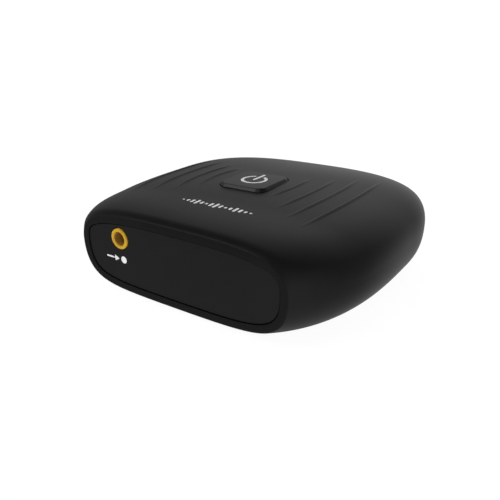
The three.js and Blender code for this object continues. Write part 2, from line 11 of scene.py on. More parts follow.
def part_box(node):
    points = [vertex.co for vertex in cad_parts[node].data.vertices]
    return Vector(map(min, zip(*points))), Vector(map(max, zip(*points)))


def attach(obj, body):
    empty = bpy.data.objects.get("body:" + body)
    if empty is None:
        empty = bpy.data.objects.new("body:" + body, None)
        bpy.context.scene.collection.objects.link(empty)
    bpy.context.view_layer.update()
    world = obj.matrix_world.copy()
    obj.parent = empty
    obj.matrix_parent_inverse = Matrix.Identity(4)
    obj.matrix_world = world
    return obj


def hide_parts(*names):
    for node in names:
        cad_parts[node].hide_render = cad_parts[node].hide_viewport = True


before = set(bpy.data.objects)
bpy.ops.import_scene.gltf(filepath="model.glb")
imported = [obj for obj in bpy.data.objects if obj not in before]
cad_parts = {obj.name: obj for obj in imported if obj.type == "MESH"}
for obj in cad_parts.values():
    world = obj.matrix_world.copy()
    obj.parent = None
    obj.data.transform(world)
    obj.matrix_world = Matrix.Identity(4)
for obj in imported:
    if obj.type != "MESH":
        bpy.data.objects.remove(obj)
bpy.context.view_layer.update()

MM = 0.001


def node_box(name):
    """Lowest and highest corner of a CAD node in millimetres."""
    low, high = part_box(name)
    return np.array(low) / MM, np.array(high) / MM


# ---- Dimensions, from the frame where it holds them ----

HOUSING_LOW, HOUSING_HIGH = node_box("housing")
PANEL_LOW, PANEL_HIGH = node_box("front_panel")
REAR_LOW, REAR_HIGH = node_box("rear_panel")
CAP_LOW, CAP_HIGH = node_box("power_button")
GUIDE_BOTTOM = node_box("button_light_guide")[0][2]
JACK_LOW, JACK_HIGH = node_box("front_jack_housing")
REAR_JACK_LOW, REAR_JACK_HIGH = node_box("rear_jack_housing")
USB_LOW, USB_HIGH = node_box("usb_shell")

HALF_WIDTH = HOUSING_HIGH[0]
FRONT_Y = HOUSING_LOW[1]
BACK_Y = -FRONT_Y
FLOOR_GAP = 1.0                   # feet hold the housing this far off the floor
WIDEST_Y = 8.0
FRONT_REACH = 59.0
BACK_REACH = BACK_Y - WIDEST_Y
PLAN_POWER = 2.85                 # superellipse plan outline
TOP_RISE, TOP_SIDE_POWER, TOP_EDGE_POWER = 8.9, 13.7, 2.24
BOTTOM_DROP, BOTTOM_SIDE_POWER, BOTTOM_EDGE_POWER = 12.4, 13.2, 2.22
CROWN = 4.1
WIDEST_Z = FLOOR_GAP + BOTTOM_DROP
WALL = 2.0
GAP = 0.3

RIM = 2.1
RIM_EDGE = 0.5                    # rounding of the rim's outer edge
RIM_LIP = 0.12                    # rounding of the rim's inner edge
RIM_CORNER = 0.6                  # how much narrower the rim is at its upper corners
PANEL_GAP = 0.2                   # between the rim and the front panel
LEDGE = 3.2                       # rim width behind the front panel
LEDGE_THICK = 1.2
SHOULDER = 0.8                    # how far the top swells behind the rim
SHOULDER_ROLL = 3.2               # length over which the swelling rolls down to the rim
SHOULDER_FADE = 18.0              # length over which it runs out into the top
LEDGE_Y = (PANEL_HIGH[1] + GAP, PANEL_HIGH[1] + GAP + LEDGE_THICK)
PANEL_EDGE = 0.12                 # rounding of the front panel's edges

COVER_SCALE = 0.8
COVER_FRONT_REACH = 44.0
COVER_TOP = 3.0
COVER_EDGE = 0.25                 # rounding of the bottom cover's outer edge

REAR_HALF_WIDTH = REAR_HIGH[0] + GAP
REAR_Z = (REAR_LOW[2] + REAR_HIGH[2]) / 2
REAR_HALF_HEIGHT = (REAR_HIGH[2] - REAR_LOW[2]) / 2 + GAP
REAR_STEP = 1.0                   # width and thickness of the step behind the rear panel
REAR_LEDGE_Y = (REAR_LOW[1] - GAP - REAR_STEP, REAR_LOW[1] - GAP)
REAR_LIP = 0.4                    # rounding of the rear opening's edge
REAR_PANEL_EDGE = 0.22            # rounding of the rear panel's edges

BUTTON_FLANGE = 1.0
BUTTON_HALF = CAP_HIGH[0] - BUTTON_FLANGE
BUTTON_CORNER = 3.0
BUTTON_Y = (CAP_LOW[1] + CAP_HIGH[1]) / 2
BUTTON_TOP = CAP_HIGH[2]
BUTTON_BOTTOM = CAP_LOW[2]
BUTTON_WALL = 1.2
BUTTON_GAP = 0.2
HOLE_LIP = 0.14                   # width of the rounded edge of the button's hole
BUTTON_CROWN = 0.06               # how much lower the face is at its sides
BEVEL, BEVEL_DROP = 0.62, 0.85    # slope round the face, across and down
BUTTON_ROOF = BUTTON_TOP - BUTTON_WALL

ICON_RADIUS, ICON_STROKE, ICON_OPENING = 3.9, 0.95, 0.42
ICON_BAR = (-0.5, 5.7)            # start and end of the bar, from the symbol's centre

GUIDE_RADIUS, GUIDE_THICK, GUIDE_STEM = 5.4, 0.9, 1.5

JACK_X = (JACK_LOW[0] + JACK_HIGH[0]) / 2
REAR_JACK_X = (REAR_JACK_LOW[0] + REAR_JACK_HIGH[0]) / 2
JACK_Z = (JACK_HIGH[2] + JACK_LOW[2]) / 2
JACK_NOSE, JACK_NOSE_LENGTH = 2.9, 2.9
JACK_BORE, JACK_BORE_LENGTH = 1.9, 4.0
JACK_BODY = (3.25, 2.5, 11.5)     # half width, half height, length
JACK_CHAMBER = (2.3, 2.2, 0.4)    # half width, half height, how far it sits below the bore
JACK_CHAMBER_DEPTHS = (3.6, 13.4)

USB_X, USB_Z = (USB_LOW[0] + USB_HIGH[0]) / 2, (USB_LOW[2] + USB_HIGH[2]) / 2
USB_HALF_X, USB_HALF_Z = (USB_HIGH[0] - USB_LOW[0]) / 2, (USB_HIGH[2] - USB_LOW[2]) / 2
USB_CORNER, USB_WALL = 0.9, 0.35

FAR_UP = 40.0                     # above the whole object, for cutting blocks
SHARP = 0.001                     # edge rounding of cutting blocks

# Each rib: side, distance from the middle at its front and back ends, outward bow, front end, back end,
# height.
RIBS = [
    (1, 10.6, 12.1, 0.9, -13.0, 8.5, 0.22),
    (1, 16.2, 18.1, 1.2, -19.5, 13.5, 0.23),
    (1, 21.2, 23.1, 1.4, -24.0, 19.0, 0.24),
    (1, 26.7, 28.6, 1.5, -26.0, 22.5, 0.31),
    (-1, 12.2, 11.8, 2.2, -14.5, 8.5, 0.30),
    (-1, 17.0, 17.3, 2.4, -20.5, 13.5, 0.34),
    (-1, 23.0, 24.2, 2.9, -24.5, 19.0, 0.36),
    (-1, 28.8, 31.0, 3.9, -27.0, 22.0, 0.38),
]
RIB_HALF_WIDTH = 0.85
RIB_RUN_OUT = 0.6                 # share of each half of a rib over which it rises from its end


# ---- The pebble's surface ----

def plan_radius(x, y):
    """0 in the middle of the plan, 1 on its outline; x and y from the widest place."""
    along = np.where(y < 0, np.abs(y) / FRONT_REACH, np.abs(y) / BACK_REACH)
    return ((np.abs(x) / HALF_WIDTH) ** PLAN_POWER + along ** PLAN_POWER) ** (1 / PLAN_POWER)


def top_height(radius):
    edge = np.maximum(0, 1 - radius ** TOP_SIDE_POWER) ** (1 / TOP_EDGE_POWER)
    return TOP_RISE * edge + CROWN * (1 - radius ** 2)


def bottom_depth(radius):
    return BOTTOM_DROP * np.maximum(0, 1 - radius ** BOTTOM_SIDE_POWER) ** (1 / BOTTOM_EDGE_POWER)


def top_z(x, y):
    return WIDEST_Z + top_height(np.minimum(1, plan_radius(x, y - WIDEST_Y)))


def bottom_z(x, y):
    return WIDEST_Z - bottom_depth(np.minimum(1, plan_radius(x, y - WIDEST_Y)))


def back_y(x, z):
    """The back surface's y over a point of the (x, z) plane."""
    radius = np.linspace(0, 1, 4000) ** 0.5
    rise = z - WIDEST_Z
    upper = np.interp(-np.abs(rise), -top_height(radius), radius)
    lower = np.interp(-np.abs(rise), -bottom_depth(radius), radius)
    size = np.where(rise >= 0, upper, lower) ** PLAN_POWER - (np.abs(x) / HALF_WIDTH) ** PLAN_POWER
    return WIDEST_Y + BACK_REACH * np.maximum(0, size) ** (1 / PLAN_POWER)


def section(y, turn):
    """The plain pebble's outline at y, as (x, z) columns; turn runs from +X over the top and round."""
    depth = y - WIDEST_Y
    share = np.abs(depth) / np.where(depth < 0, FRONT_REACH, BACK_REACH)
    half = HALF_WIDTH * (1 - share ** PLAN_POWER) ** (1 / PLAN_POWER)
    x = half * np.cos(turn)
    radius = np.minimum(1, plan_radius(x, np.broadcast_to(depth, x.shape)))
    z = WIDEST_Z + np.where(np.sin(turn) >= 0, top_height(radius), -bottom_depth(radius))
    return np.stack([x, z], 1)


def inwards(outline):
    """Directions into a closed outline of (a, b) points that runs anticlockwise."""
    along = np.roll(outline, -1, 0) - np.roll(outline, 1, 0)
    along /= np.maximum(np.linalg.norm(along, axis=1, keepdims=True), 1e-12)
    return np.stack([-along[:, 1], along[:, 0]], 1)


def moved_in(outline, distance):
    """A closed outline moved inwards, by one distance or by one for each point."""
    return outline + np.reshape(distance, (-1, 1)) * inwards(outline)


def shoulder(y, turn):
    """How far the housing stands out over the plain pebble behind the rim; nothing below its middle."""
    behind = y - FRONT_Y
    roll = 1 - (1 - np.clip(behind / SHOULDER_ROLL, 0, 1)) ** 3
    fade = np.clip((behind - SHOULDER_ROLL) / SHOULDER_FADE, 0, 1)
    upper = np.clip(np.sin(turn) / 0.3, 0, 1)
    return SHOULDER * roll * (1 - fade ** 2 * (3 - 2 * fade)) * upper ** 2 * (3 - 2 * upper)


def skin(y, turn):
    """The outside of the housing at y, which may differ from turn to turn."""
    return moved_in(section(y, turn), -shoulder(y, turn))


def rim_opening(turn, inset=0.0):
    """The inner outline of the rim, `inset` further in."""
    outline = section(FRONT_Y, turn)
    normal = -inwards(outline)
    corner = np.where(normal[:, 1] > 0, 4 * (normal[:, 0] * normal[:, 1]) ** 2, 0)
    return moved_in(outline, RIM - RIM_CORNER * corner + inset)


def rear_oval(turn, grow):
    half = REAR_HALF_WIDTH + grow
    end = REAR_HALF_HEIGHT + grow
    x = half * np.cos(turn)
    beyond = np.maximum(0, np.abs(x) - (half - end))
    height = np.sqrt(np.maximum(0, end ** 2 - beyond ** 2))
    return np.stack([x, REAR_Z + np.where(np.sin(turn) >= 0, height, -height)], 1)


def graded(start, end, coarse, spots):
    """Values from start to end, `coarse` apart, closer near each (middle, half width, spacing) spot."""
    fine = np.linspace(start, end, 6000)
    spacing = np.full_like(fine, coarse)
    for middle, half, close in spots:
        nearness = np.clip(1.5 - np.abs(fine - middle) / (2 * half), 0, 1)
        spacing = np.minimum(spacing, coarse + (close - coarse) * np.minimum(1, 2 * nearness))
    count = np.concatenate([[0], np.cumsum(np.diff(fine) / spacing[1:])])
    steps = max(2, int(round(count[-1])))
    return np.interp(np.linspace(0, count[-1], steps + 1), count, fine)


# ---- Mesh helpers ----

def grid_faces(rows, columns, wrap_rows=False):
    """Quads of a grid whose columns close round; its rows close too if asked."""
    i = np.arange(rows if wrap_rows else rows - 1)[:, None]
    j = np.arange(columns)[None, :]
    after = (i + 1) % rows
    beside = (j + 1) % columns
    quads = [i * columns + j, after * columns + j, after * columns + beside, i * columns + beside]
    return np.stack([np.broadcast_to(q, (len(i), columns)) for q in quads], -1).reshape(-1, 4)


def new_piece(name, points, faces):
    mesh = bpy.data.meshes.new(name)
    mesh.from_pydata((np.asarray(points) * MM).tolist(), [], [list(map(int, f)) for f in faces])
    mesh.validate()
    piece = bpy.data.objects.new(name, mesh)
    bpy.context.scene.collection.objects.link(piece)
    outward(piece)
    return piece


def outward(piece):
    work = bmesh.new()
    work.from_mesh(piece.data)
    bmesh.ops.recalc_face_normals(work, faces=work.faces)
    work.to_mesh(piece.data)
    work.free()


def stacked(name, loops, capped=True):
    """A skin through closed loops of equal length; capped ends close to a middle point."""
    loops = [np.asarray(loop, float) for loop in loops]
    columns = len(loops[0])
    points = np.concatenate(loops)
    faces = grid_faces(len(loops), columns, wrap_rows=not capped).tolist()
    if capped:
        first, last = len(points), len(points) + 1
        points = np.concatenate([points, [loops[0].mean(0)], [loops[-1].mean(0)]])
        base = (len(loops) - 1) * columns
        for j in range(columns):
            beside = (j + 1) % columns
            faces.append([first, beside, j][::-1])
            faces.append([last, base + j, base + beside][::-1])
    return new_piece(name, points, faces)


def rounded_path(corners, steps=5, closed=False):
    """A path through (a, b, radius) corners, each rounded by its radius."""
    points = []
    count = len(corners)
    for i, (a, b, radius) in enumerate(corners):
        here = np.array([a, b], float)
        if radius == 0 or (not closed and i in (0, count - 1)):
            points.append(here)
            continue
        before = np.array(corners[i - 1][:2], float) - here
        after = np.array(corners[(i + 1) % count][:2], float) - here
        before /= np.linalg.norm(before)
        after /= np.linalg.norm(after)
        half_angle = math.acos(np.clip(before @ after, -1, 1)) / 2
        reach = radius / math.tan(half_angle)
        middle = here + (before + after) / np.linalg.norm(before + after) * radius / math.sin(half_angle)
        start = here + before * reach - middle
        end = here + after * reach - middle
        sweep = math.pi - 2 * half_angle
        for k in range(steps + 1):
            share = k / steps
            part = (math.sin((1 - share) * sweep) * start + math.sin(share * sweep) * end) / math.sin(sweep)
            points.append(middle + part)
    return np.array(points)


def turned(name, corners, place, sides=48):
    """A turned piece about Z, from (radius, z, rounding) corners that start and end on the axis."""
    profile = rounded_path(corners)
    turn = np.linspace(0, 2 * np.pi, sides, endpoint=False)
    ring = np.stack([np.cos(turn), np.sin(turn), np.zeros(sides)], 1)
    loops = [ring * radius + [0, 0, z] + place for radius, z in profile[1:-1]]
    piece = stacked(name, loops)
    ends = [profile[0][1], profile[-1][1]]
    for vertex, z in zip(list(piece.data.vertices)[-2:], ends):
        vertex.co = Vector(np.array([place[0], place[1], z + place[2]]) * MM)
    return piece


def circle(x, y, radius, sides=48):
    turn = np.linspace(0, 2 * np.pi, sides, endpoint=False)
    return np.stack([x + radius * np.cos(turn), y + radius * np.sin(turn)], 1)


def round_box(x, y, half_x, half_y, radius, steps=8):
    corners = [(x + half_x, y - half_y, radius), (x + half_x, y + half_y, radius),
               (x - half_x, y + half_y, radius), (x - half_x, y - half_y, radius)]
    return rounded_path(corners, steps, closed=True)


def flat_up(outline, height):
    """Points of a plan outline at a height."""
    return np.column_stack([outline, np.full(len(outline), height)])


def flat_front(outline, height):
    """An outline in (x, z), facing -Y; height counts towards the back."""
    return np.column_stack([outline[:, 0], np.broadcast_to(height, len(outline)), outline[:, 1]])


def slab(name, outer, holes, low, high, bevel, lay=flat_up, steps=3):
    """A flat plate with holes and rounded edges. All outlines run anticlockwise."""
    work = bmesh.new()
    edges = {"low": [], "high": []}
    for outline, inwards in [(outer, 1)] + [(hole, -1) for hole in holes]:
        turns = np.linspace(0, np.pi / 2, steps + 1)
        levels = [(bevel * (1 - math.sin(t)), low + bevel * (1 - math.cos(t))) for t in turns]
        levels += [(inset, low + high - level) for inset, level in reversed(levels)]
        rings = []
        for inset, level in levels:
            at = lay(moved_in(outline, inwards * inset), level) * MM
            rings.append([work.verts.new(point) for point in at])
        for lower, upper in zip(rings, rings[1:]):
            for j in range(len(lower)):
                beside = (j + 1) % len(lower)
                work.faces.new([lower[j], lower[beside], upper[beside], upper[j]])
        for side, ring in (("low", rings[0]), ("high", rings[-1])):
            edges[side] += [work.edges.get([a, b]) for a, b in zip(ring, ring[1:] + ring[:1])]
    for side in edges.values():
        bmesh.ops.triangle_fill(work, use_beauty=True, use_dissolve=False, edges=side)
    bmesh.ops.recalc_face_normals(work, faces=work.faces)
    mesh = bpy.data.meshes.new(name)
    work.to_mesh(mesh)
    work.free()
    piece = bpy.data.objects.new(name, mesh)
    bpy.context.scene.collection.objects.link(piece)
    return piece


def apply_modifiers(piece):
    graph = bpy.context.evaluated_depsgraph_get()
    mesh = bpy.data.meshes.new_from_object(piece.evaluated_get(graph))
    piece.modifiers.clear()
    piece.data = mesh


def combine(piece, others, operation):
    """Joins or cuts `piece` with other solids, which are used up."""
    for other in others:
        modifier = piece.modifiers.new("combine", "BOOLEAN")
        modifier.operation = operation
        modifier.solver = "EXACT"
        modifier.object = other
        apply_modifiers(piece)
        bpy.data.objects.remove(other)
    return piece


def cut(piece, *others):
    return combine(piece, others, "DIFFERENCE")


def join(piece, *others):
    return combine(piece, others, "UNION")


def lay_along_y(piece, x, y, z, towards=1):
    """Turns a piece built about Z so that its +Z points along Y, then moves it."""
    spin = Matrix.Rotation(-towards * math.pi / 2, 4, "X")
    piece.data.transform(Matrix.Translation(Vector((x, y, z)) * MM) @ spin)
    return piece


def smooth(piece, angle):
    """Smooth shading, with sharp edges where faces meet at more than `angle` degrees."""
    piece.data.shade_smooth()
    piece.data.set_sharp_from_angle(angle=math.radians(angle))
    modifier = piece.modifiers.new("normals", "WEIGHTED_NORMAL")
    modifier.keep_sharp = True


def finish_piece(piece, body, material, replaces=(), angle=32):
    smooth(piece, angle)
    piece.data.materials.clear()
    piece.data.materials.append(material)
    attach(piece, body)
    if replaces:
        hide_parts(*replaces)
    return piece


def second_material(piece, look, chosen):
    """Gives another material to the faces for which chosen(middle in mm, normal) is true."""
    piece.data.materials.append(look)
    for face in piece.data.polygons:
        if chosen(face.center / MM, face.normal):
            face.material_index = 1


# ---- Materials ----

def material(name):
    made = bpy.data.materials.new(name)
    made.use_nodes = True
    nodes = made.node_tree.nodes
    return made, nodes, made.node_tree.links, nodes["Principled BSDF"]


def noise(nodes, links, size, detail=2.0, rough=0.5, stretch=None):
    """Noise whose features are about `size` millimetres across."""
    where = nodes.new("ShaderNodeTexCoord").outputs["Object"]
    if stretch:
        mapping = nodes.new("ShaderNodeMapping")
        mapping.inputs["Scale"].default_value = stretch
        links.new(where, mapping.inputs["Vector"])
        where = mapping.outputs["Vector"]
    texture = nodes.new("ShaderNodeTexNoise")
    texture.inputs["Scale"].default_value = 1 / (size * MM)
    texture.inputs["Detail"].default_value = detail
    texture.inputs["Roughness"].default_value = rough
    links.new(where, texture.inputs["Vector"])
    return texture.outputs["Fac"]


def ranged(nodes, links, value, low, high, source=(0.3, 0.7)):
    spread = nodes.new("ShaderNodeMapRange")
    spread.inputs["From Min"].default_value, spread.inputs["From Max"].default_value = source
    spread.inputs["To Min"].default_value = low
    spread.inputs["To Max"].default_value = high
    links.new(value, spread.inputs["Value"])
    return spread.outputs["Result"]


def tinted(nodes, links, value, dark, light, source=(0.3, 0.7)):
    ramp = nodes.new("ShaderNodeValToRGB")
    for element, spot, color in zip(ramp.color_ramp.elements, source, (dark, light)):
        element.position = spot
        element.color = (*color, 1)
    links.new(value, ramp.inputs["Fac"])
    return ramp.outputs["Color"]


def bump(nodes, links, shader, height, depth):
    """A bump `depth` millimetres deep."""
    node = nodes.new("ShaderNodeBump")
    node.inputs["Strength"].default_value = 1.0
    node.inputs["Distance"].default_value = depth * MM
    links.new(height, node.inputs["Height"])
    links.new(node.outputs["Normal"], shader.inputs["Normal"])


def moulded(name, dark, light, roughness, grain, depth, specular=0.5, metallic=0.0, cloud=9.0):
    """Moulded plastic, rubber or cast metal, with a fine grain and clouds of slightly different colour."""
    made, nodes, links, shader = material(name)
    shader.inputs["Metallic"].default_value = metallic
    shader.inputs["Specular IOR Level"].default_value = specular
    clouds = noise(nodes, links, cloud, 4.0, 0.55)
    links.new(tinted(nodes, links, clouds, dark, light), shader.inputs["Base Color"])
    fine = noise(nodes, links, grain, 3.0, 0.6)
    links.new(ranged(nodes, links, fine, *roughness), shader.inputs["Roughness"])
    bump(nodes, links, shader, fine, depth)
    return made


def grey(level):
    return (level, level, level)


CASING = moulded("casing_plastic", grey(0.0045), grey(0.0060), (0.34, 0.44), 0.16, 0.004, 0.10)
PANEL = moulded("panel_plastic", grey(0.0065), grey(0.0080), (0.44, 0.54), 0.12, 0.004, 0.14)
BUTTON = moulded("button_plastic", grey(0.0045), grey(0.0060), (0.32, 0.42), 0.14, 0.003, 0.12)
# A lighter copy of the button plastic for the cap's front bevel: a painted highlight.
BUTTON_BEVEL_PAINTED_HIGHLIGHT = moulded("button_bevel_painted_highlight", grey(0.027), grey(0.030), (0.28, 0.36), 0.14, 0.002, 0.15)
SYMBOL = moulded("symbol_plastic", grey(0.78), grey(0.84), (0.35, 0.45), 0.3, 0.002)
PRINT = moulded("printed_ink", grey(0.84), grey(0.90), (0.40, 0.52), 0.08, 0.002)
RUBBER = moulded("foot_rubber", grey(0.010), grey(0.018), (0.75, 0.9), 0.2, 0.02, 0.3)
STEEL = moulded("screw_steel", grey(0.42), grey(0.55), (0.28, 0.42), 0.25, 0.003, metallic=1.0, cloud=1.5)
YELLOW, DEEP_YELLOW = (0.68, 0.40, 0.02), (0.60, 0.345, 0.014)
JACK = moulded("jack_plastic", DEEP_YELLOW, YELLOW, (0.40, 0.50), 0.25, 0.004, 0.25, cloud=3.0)
# A darker amber for the inside of the jacks' bores: painted shade in the hole.
AMBER, DEEP_AMBER = (0.42, 0.225, 0.045), (0.32, 0.165, 0.03)
JACK_BORE_PAINTED_SHADE = moulded("jack_bore_painted_shade", DEEP_AMBER, AMBER, (0.5, 0.6), 0.25, 0.006, cloud=2.0)
BRASS, DEEP_BRASS = (0.80, 0.60, 0.30), (0.70, 0.50, 0.22)
CONTACT = moulded("contact_brass", DEEP_BRASS, BRASS, (0.2, 0.35), 0.3, 0.002, metallic=1.0)
SHELL = moulded("inlet_steel", grey(0.52), grey(0.62), (0.22, 0.34), 0.3, 0.002, metallic=1.0, cloud=2.5)
INSULATOR = moulded("insulator_plastic", grey(0.012), grey(0.02), (0.45, 0.6), 0.15, 0.004)
CAN = moulded("tinned_can", grey(0.55), grey(0.66), (0.24, 0.36), 0.4, 0.003, metallic=1.0, cloud=2.5)
CHIP = moulded("chip_epoxy", grey(0.016), grey(0.024), (0.42, 0.58), 0.12, 0.004)
CERAMIC = moulded("ceramic", (0.66, 0.63, 0.56), (0.74, 0.71, 0.64), (0.4, 0.55), 0.2, 0.003)
LED = moulded("led_lens", (0.78, 0.80, 0.78), (0.86, 0.88, 0.86), (0.12, 0.2), 0.4, 0.001, cloud=1.0)


def board_material(name, dark, light):
    """Solder mask over traces: raised lines along both ways of the board."""
    made, nodes, links, shader = material(name)
    shader.inputs["Specular IOR Level"].default_value = 0.55
    lines = noise(nodes, links, 2.4, 0.0, 0.5, (1, 0.12, 1))
    other = noise(nodes, links, 2.4, 0.0, 0.5, (0.12, 1, 1))
    sum_node = nodes.new("ShaderNodeMath")
    sum_node.operation = "MAXIMUM"
    links.new(lines, sum_node.inputs[0])
    links.new(other, sum_node.inputs[1])
    traces = ranged(nodes, links, sum_node.outputs[0], 0, 1, (0.58, 0.6))
    links.new(tinted(nodes, links, traces, dark, light, (0.1, 0.9)), shader.inputs["Base Color"])
    links.new(ranged(nodes, links, noise(nodes, links, 0.4), 0.28, 0.4), shader.inputs["Roughness"])
    bump(nodes, links, shader, traces, 0.03)
    return made


BOARD = board_material("board_green", (0.006, 0.055, 0.022), (0.010, 0.085, 0.035))
MODULE = board_material("board_blue", (0.006, 0.030, 0.10), (0.010, 0.048, 0.15))


# ---- Housing ----

def rib_height(x, y):
    """How far the ribs stand above the top surface."""
    total = np.zeros(np.broadcast(x, y).shape)
    for side, front_x, back_x, bow, front, back, height in RIBS:
        middle, half = (front + back) / 2, (back - front) / 2
        along = (y - middle) / half
        line = (front_x + back_x) / 2 + (back_x - front_x) / 2 * along + bow * (1 - along ** 2)
        away = np.abs(side * x - line)
        across = np.where(away < RIB_HALF_WIDTH, 0.5 + 0.5 * np.cos(np.pi * away / RIB_HALF_WIDTH), 0)
        taper = np.clip((1 - np.abs(along)) / RIB_RUN_OUT, 0, 1)
        total = np.maximum(total, height * across * taper * taper * (3 - 2 * taper))
    return total


def hole_lip(x, y):
    """How far the top dips at the rounded edge of the button's hole."""
    half = BUTTON_HALF + BUTTON_GAP
    corner = BUTTON_CORNER + BUTTON_GAP
    dx = np.maximum(np.abs(x) - (half - corner), 0)
    dy = np.maximum(np.abs(y - BUTTON_Y) - (half - corner), 0)
    outside = np.hypot(dx, dy) - corner
    near = np.clip(1 - outside / HOLE_LIP, 0, 1)
    return HOLE_LIP / 2 * (1 - np.sqrt(np.maximum(0, 1 - near ** 2)))


def with_relief(points):
    """Adds the ribs and the lip of the button's hole to points on the top."""
    x, y = points[:, 0], points[:, 1]
    on_top = points[:, 2] > WIDEST_Z + 4
    points[:, 2] += np.where(on_top, rib_height(x, y) - hole_lip(x, y), 0)
    return points


def turn_at(x):
    """Where the widest section's outline passes x on the top."""
    return math.acos(x / HALF_WIDTH)


def section_turns():
    """Turns round the section, close together over the ribs and at the sides of the button's hole."""
    inner, outer = turn_at(10.0), turn_at(35.0)
    zone = ((inner + outer) / 2, (inner - outer) / 2, 0.0048)
    edge = (turn_at(BUTTON_HALF + BUTTON_GAP + 0.1), 0.010, 0.0022)
    spots = [zone, edge] + [(math.pi - middle, half, close) for middle, half, close in (zone, edge)]
    top = graded(0, math.pi, 0.018, spots)[:-1]
    bottom = np.linspace(math.pi, 2 * math.pi, 110, endpoint=False)
    return np.concatenate([top, bottom])


def rim_edge(turns):
    """Loops that round the rim's front face into the skin, and how far back they end at each turn."""
    front = skin(FRONT_Y, turns)
    out = -inwards(front)

    def height(behind):
        return ((skin(FRONT_Y + behind, turns) - front) * out).sum(1)

    step = 0.05
    slope = np.zeros(len(turns))
    for _ in range(6):
        end = RIM_EDGE * (1 - np.sin(slope))
        slope = np.arctan((height(end + step) - height(end)) / step)
    middle = height(end) - RIM_EDGE * np.cos(slope)
    loops = []
    for share in np.linspace(0, 1, 9):
        lean = math.pi / 2 + (slope - math.pi / 2) * share
        rise = middle + RIM_EDGE * np.cos(lean)
        loops.append(flat_front(front + rise[:, None] * out, FRONT_Y + RIM_EDGE * (1 - np.sin(lean))))
    return loops, end


def back_loop(grow, turns, share, wide):
    """A loop on the back of the pebble, `share` of the way from the widest section to the rear oval."""
    spot = wide + (rear_oval(turns, grow) - wide) * share
    return np.column_stack([spot[:, 0], back_y(spot[:, 0], spot[:, 1]), spot[:, 1]])


def rim_loops(turns):
    """The rim, from the recess round the panel out to its flat front face."""
    ledge = LEDGE - RIM
    loops = [flat_front(rim_opening(turns, ledge), LEDGE_Y[1])]
    for inset in (ledge, ledge / 2, 0):
        loops.append(flat_front(rim_opening(turns, inset), LEDGE_Y[0]))
    loops.append(flat_front(rim_opening(turns), (LEDGE_Y[0] + FRONT_Y + RIM_LIP) / 2))
    for t in np.linspace(0, np.pi / 2, 5):
        lip = rim_opening(turns, RIM_LIP * (math.cos(t) - 1))
        loops.append(flat_front(lip, FRONT_Y + RIM_LIP * (1 - math.sin(t))))
    return loops


def front_loops(turns, edge_end):
    """The outside, from the rim's rounded edge back to the widest section."""
    half = BUTTON_HALF + BUTTON_GAP + 0.1
    # closer together at the front and back of the button's hole and just behind the rim
    closer = [(BUTTON_Y - half, 0.3, 0.09), (BUTTON_Y + half, 0.3, 0.09), (FRONT_Y + 1.5, 1.8, 0.2)]
    settled = 5.0                 # depth at which the loops no longer follow the rounded edge
    loops = []
    for y in graded(FRONT_Y, WIDEST_Y, 0.7, closer)[1:]:
        place = y + edge_end * max(0, 1 - (y - FRONT_Y) / settled)
        loops.append(with_relief(flat_front(skin(place, turns), place)))
    return loops


def rear_loops(turns):
    """The outside, from the widest section round the back into the rear opening."""
    wide = section(WIDEST_Y, turns)
    last = back_loop(REAR_LIP, turns, 0.0, wide)
    last[:, 1] = WIDEST_Y
    loops = []
    for share in np.linspace(0, 1, 600)[1:] ** 2:
        loop = back_loop(REAR_LIP, turns, share, wide)
        if np.linalg.norm(loop - last, axis=1).max() > 0.75 or share == 1:
            last = loop
            loops.append(loop)
    loops = [with_relief(loop) for loop in loops]
    for t in np.linspace(0, np.pi / 2, 6)[1:]:
        loop = back_loop(REAR_LIP * (1 - math.sin(t)), turns, 1.0, wide)
        loop[:, 1] -= REAR_LIP * (1 - math.cos(t))
        loops.append(loop)
    return loops


def inside_loops(turns):
    """The rear opening with its step, and the inside back to the front."""
    loops = [flat_front(rear_oval(turns, -inset), REAR_LEDGE_Y[1]) for inset in (0, REAR_STEP / 2, REAR_STEP)]
    loops.append(flat_front(rear_oval(turns, -REAR_STEP), REAR_LEDGE_Y[0]))
    for y in np.linspace(REAR_LEDGE_Y[0], LEDGE_Y[1], 30):
        loops.append(flat_front(moved_in(section(y, turns), WALL), y))
    return loops


def housing():
    turns = section_turns()
    edge_loops, edge_end = rim_edge(turns)
    rim = rim_loops(turns)
    face = [(rim[-1] + edge_loops[0]) / 2]
    loops = rim + face + edge_loops + front_loops(turns, edge_end) + rear_loops(turns) + inside_loops(turns)
    piece = stacked("case_housing", loops, capped=False)
    half = BUTTON_HALF + BUTTON_GAP
    hole = round_box(0, BUTTON_Y, half, half, BUTTON_CORNER + BUTTON_GAP, 12)
    button_hole = slab("button_hole", hole, [], BUTTON_BOTTOM - 2, FAR_UP, SHARP, steps=1)
    cover_hole = slab("cover_hole", cover_outline(GAP), [], -1, COVER_TOP + 1, SHARP, steps=1)
    return cut(piece, button_hole, cover_hole)


def cover_outline(extra):
    """The bottom cover's plan outline, grown by `extra`."""
    turn = np.linspace(0, 2 * np.pi, 144, endpoint=False)
    c, s = np.cos(turn), np.sin(turn)
    size = (np.abs(c) ** PLAN_POWER + np.abs(s) ** PLAN_POWER) ** (-1 / PLAN_POWER)
    reach = np.where(s < 0, COVER_FRONT_REACH, BACK_REACH * COVER_SCALE)
    x = (HALF_WIDTH * COVER_SCALE + extra) * c * size
    return np.stack([x, (reach + extra) * s * size + WIDEST_Y], 1)


finish_piece(housing(), "casing", CASING, ["housing"], angle=28)


# ---- Bottom cover, feet and screws ----

def spots(prefix):
    """The middle in x and y of each CAD node whose name starts with the prefix."""
    found = {}
    for name in sorted(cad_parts):
        if name.startswith(prefix):
            low, high = node_box(name)
            found[name] = ((low + high) / 2)[:2]
    return found


